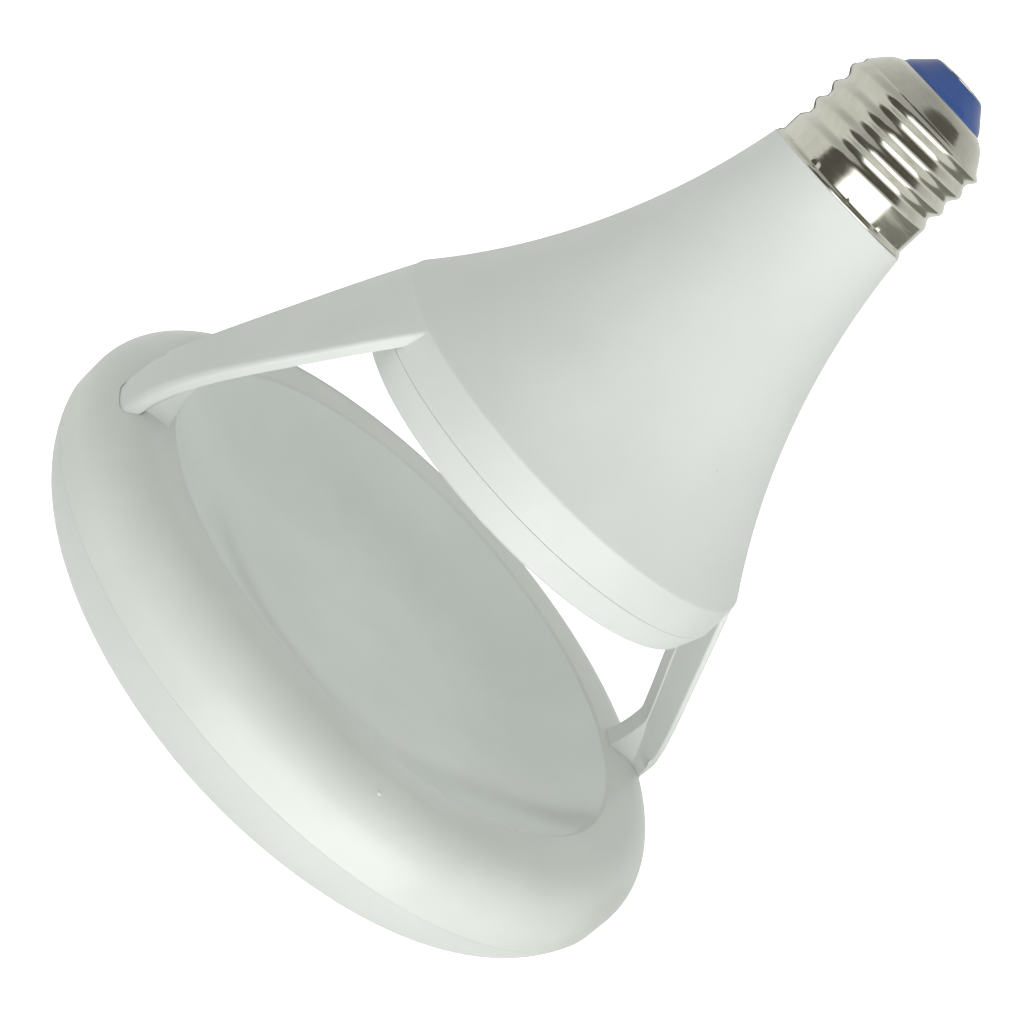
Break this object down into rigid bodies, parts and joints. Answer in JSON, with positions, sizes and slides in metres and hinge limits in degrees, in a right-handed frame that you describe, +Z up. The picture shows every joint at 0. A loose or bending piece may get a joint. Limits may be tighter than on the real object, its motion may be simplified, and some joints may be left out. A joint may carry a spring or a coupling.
{
  "type": "led flood bulb",
  "caption": "Reflector-shaped lamp with a screw cap, a flared white housing and a domed round head held off on arms.",
  "frame": {"origin": "on the lamp's axis, at the lower edge of the screw cap's skirt, where the cap meets the housing", "axes": "+Z up the axis to the centre contact; the two arms lie on +X and -X; the light leaves along -Z"},
  "size_m": [0.1276, 0.1276, 0.1576],
  "materials": {
    "nickel": "nickel-plated rolled sheet",
    "blue_insulator": "moulded, glossy",
    "white_plastic": "moulded, satin",
    "white_enamel": "gloss white coat on stamped sheet",
    "diffuser": "milky, satin",
    "board_white": "white solder mask",
    "led_yellow": "phosphor-filled resin",
    "board_green": "solder mask",
    "ferrite": "sintered, dull",
    "can_sleeve": "shrunk sleeve",
    "epoxy": "moulded resin",
    "resistor_body": "cement coat",
    "live_sleeve": "insulated lead",
    "neutral_sleeve": "insulated lead"
  },
  "bodies": {
    "root": {"screw_shell": "nickel", "centre_contact": "nickel", "cap_insulator": "blue_insulator", "housing": "white_plastic", "bottom_cover": "white_plastic", "head_ring": "white_plastic", "heat_dish": "white_enamel", "lens": "diffuser", "led_board": "board_white", "leds": "led_yellow", "driver_board": "board_green", "transformer": "ferrite", "filter_choke": "ferrite", "bulk_capacitor": "can_sleeve", "film_capacitor": "epoxy", "bridge_rectifier": "epoxy", "control_chip": "epoxy", "fuse_resistor": "resistor_body", "live_lead": "live_sleeve", "led_lead_right": "live_sleeve", "neutral_lead": "neutral_sleeve", "led_lead_left": "neutral_sleeve"}
  },
  "joints": []
}
